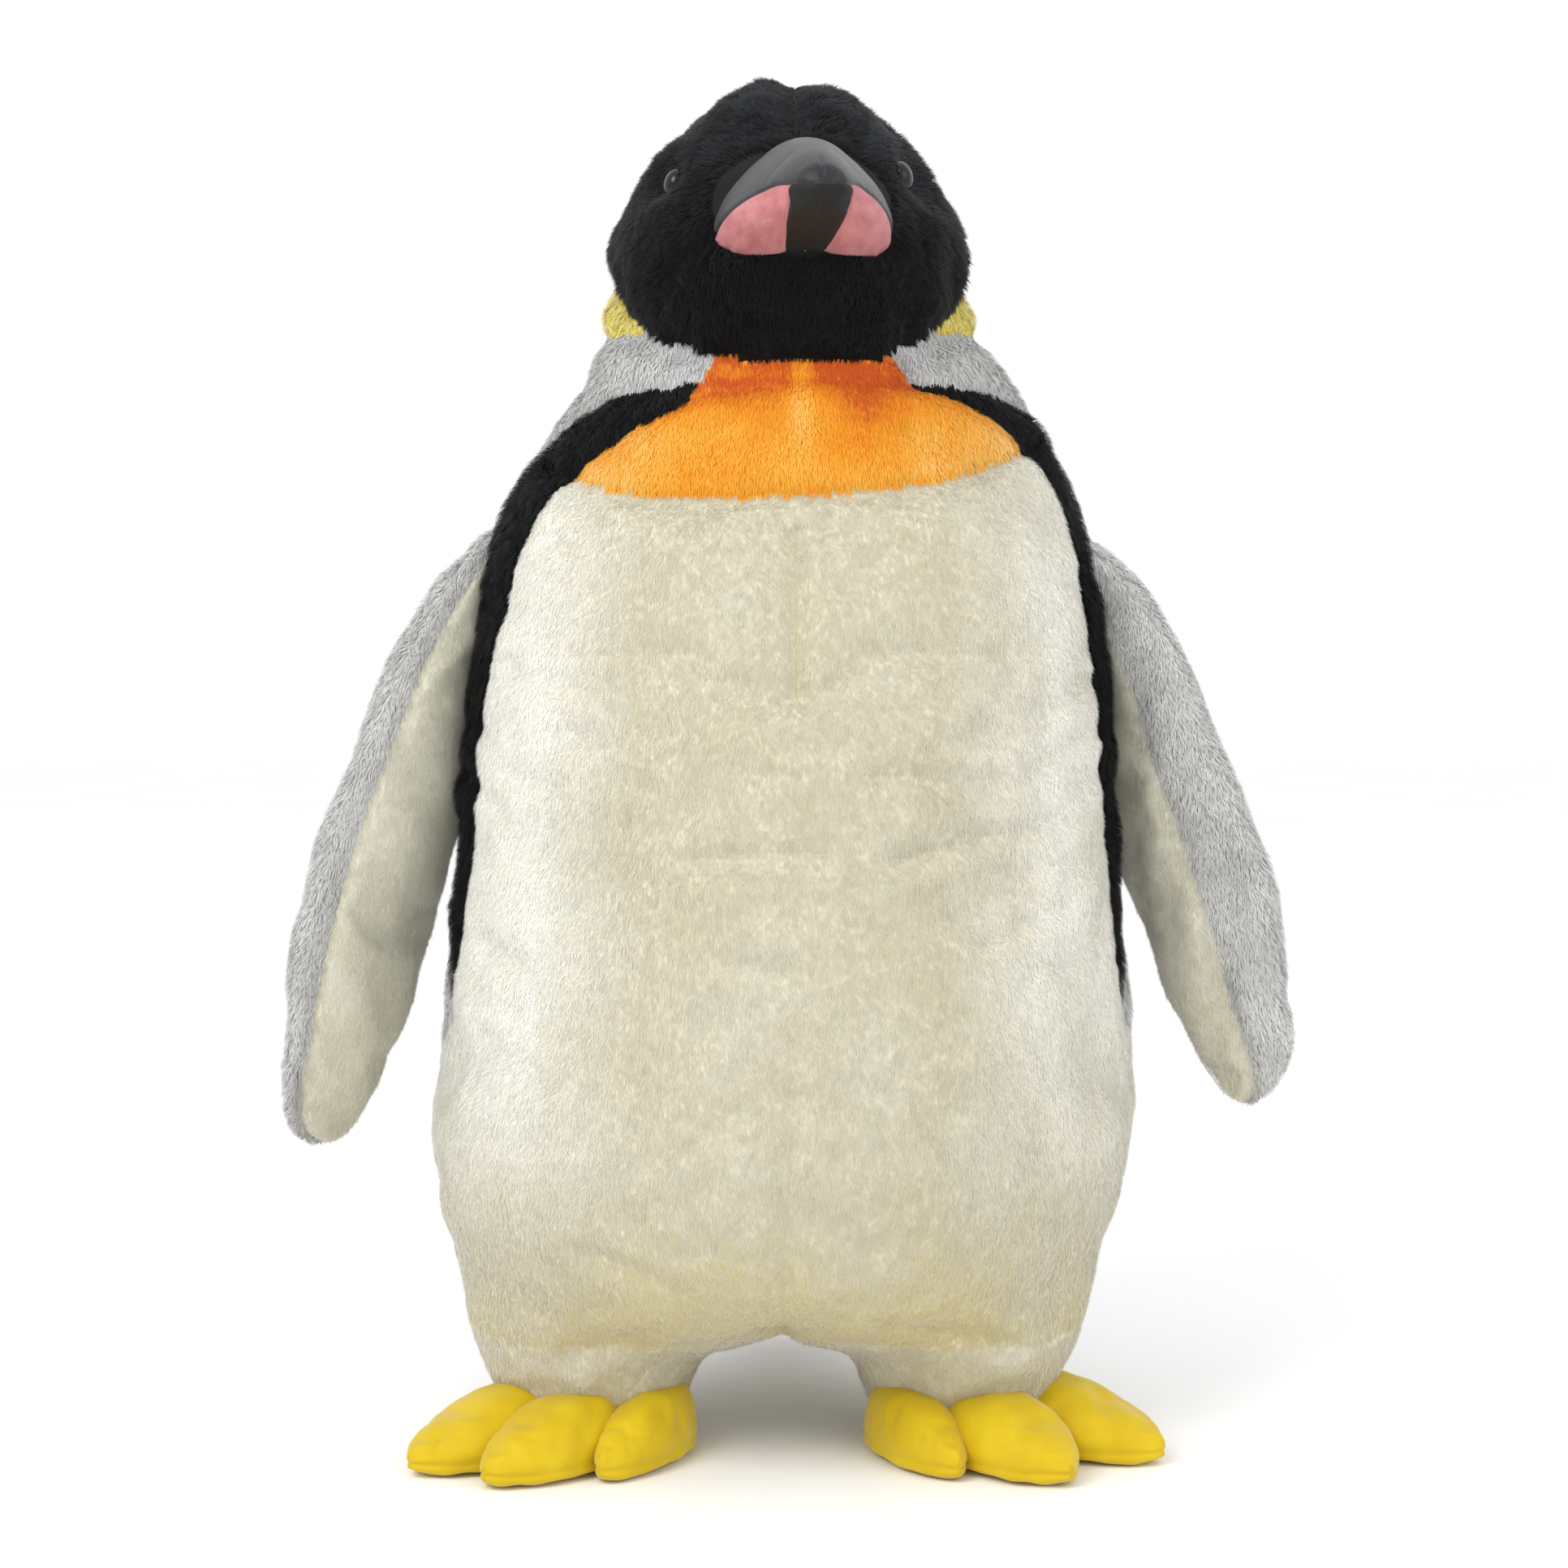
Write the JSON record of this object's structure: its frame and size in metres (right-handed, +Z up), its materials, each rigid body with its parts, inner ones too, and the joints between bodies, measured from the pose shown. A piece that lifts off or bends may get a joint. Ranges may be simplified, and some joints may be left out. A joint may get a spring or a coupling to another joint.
{
  "type": "plush penguin",
  "caption": "Tall standing plush penguin, sewn pile fabric over soft filling, with hanging flippers, splayed stuffed toes and a short tail; stands by itself on two flat-based legs.",
  "frame": {"origin": "on the floor, at the middle of the toy from side to side and from beak to tail", "axes": "+Z up, -Y the way the penguin faces, +X towards the right of a viewer who faces it"},
  "size_m": [0.5302, 0.3723, 0.7],
  "materials": {
    "black_pile": "long matte pile",
    "grey_pile": "long silky pile",
    "cream_pile": "short dense pile",
    "yellow_pile": "long pile",
    "orange_pile": "long pile",
    "yellow_tricot": "smooth brushed knit",
    "charcoal_satin": "smooth woven, slight sheen",
    "olive_satin": "smooth woven, slight sheen",
    "pink_satin": "smooth woven, slight sheen",
    "polyester_fill": "loose white fibre",
    "black_plastic": "gloss",
    "clear_plastic": "natural, unpolished"
  },
  "bodies": {
    "torso": {"back_left": "grey_pile", "back_right": "grey_pile", "beak_lower": "olive_satin", "beak_patch_left": "pink_satin", "beak_patch_right": "pink_satin", "beak_stuffing": "polyester_fill", "beak_upper": "charcoal_satin", "belly_left": "cream_pile", "belly_right": "cream_pile", "bib": "orange_pile", "chin_panel": "black_pile", "ear_patch_left": "yellow_pile", "ear_patch_right": "yellow_pile", "eye_left": "black_plastic", "eye_right": "black_plastic", "eye_washer_left": "clear_plastic", "eye_washer_right": "clear_plastic", "head_stuffing": "polyester_fill", "hood_left": "black_pile", "hood_right": "black_pile", "leg_base_left": "cream_pile", "leg_base_right": "cream_pile", "leg_left": "cream_pile", "leg_right": "cream_pile", "leg_stuffing_left": "polyester_fill", "leg_stuffing_right": "polyester_fill", "seat_panel": "cream_pile", "stripe_left": "black_pile", "stripe_right": "black_pile", "torso_stuffing": "polyester_fill"},
    "flipper_left": {"flipper_inner_left": "cream_pile", "flipper_outer_left": "grey_pile", "flipper_stuffing_left": "polyester_fill"},
    "flipper_right": {"flipper_inner_right": "cream_pile", "flipper_outer_right": "grey_pile", "flipper_stuffing_right": "polyester_fill"},
    "foot_left": {"toe_inner_cover_left": "yellow_tricot", "toe_inner_sole_left": "yellow_tricot", "toe_inner_stuffing_left": "polyester_fill", "toe_middle_cover_left": "yellow_tricot", "toe_middle_sole_left": "yellow_tricot", "toe_middle_stuffing_left": "polyester_fill", "toe_outer_cover_left": "yellow_tricot", "toe_outer_sole_left": "yellow_tricot", "toe_outer_stuffing_left": "polyester_fill"},
    "foot_right": {"toe_inner_cover_right": "yellow_tricot", "toe_inner_sole_right": "yellow_tricot", "toe_inner_stuffing_right": "polyester_fill", "toe_middle_cover_right": "yellow_tricot", "toe_middle_sole_right": "yellow_tricot", "toe_middle_stuffing_right": "polyester_fill", "toe_outer_cover_right": "yellow_tricot", "toe_outer_sole_right": "yellow_tricot", "toe_outer_stuffing_right": "polyester_fill"},
    "tail": {"tail_bottom": "cream_pile", "tail_stuffing": "polyester_fill", "tail_top": "grey_pile"}
  },
  "joints": [
    {"name": "flipper_left_lift", "type": "hinge", "parent": "torso", "child": "flipper_left", "pos_m": [-0.159, -0.006, 0.464], "axis": [0, 1, 0], "range_deg": [0, 95]},
    {"name": "flipper_right_lift", "type": "hinge", "parent": "torso", "child": "flipper_right", "pos_m": [0.159, -0.006, 0.464], "axis": [0, -1, 0], "range_deg": [0, 95]},
    {"name": "foot_left_flex", "type": "hinge", "parent": "torso", "child": "foot_left", "pos_m": [-0.12, -0.02, 0.052], "axis": [-1, 0, 0], "range_deg": [0, 15], "stiffness_Nm_per_rad": 0.05},
    {"name": "foot_right_flex", "type": "hinge", "parent": "torso", "child": "foot_right", "pos_m": [0.12, -0.02, 0.052], "axis": [-1, 0, 0], "range_deg": [0, 15], "stiffness_Nm_per_rad": 0.05},
    {"name": "tail_lift", "type": "hinge", "parent": "torso", "child": "tail", "pos_m": [0, 0.15, 0.106], "axis": [1, 0, 0], "range_deg": [0, 40]}
  ]
}
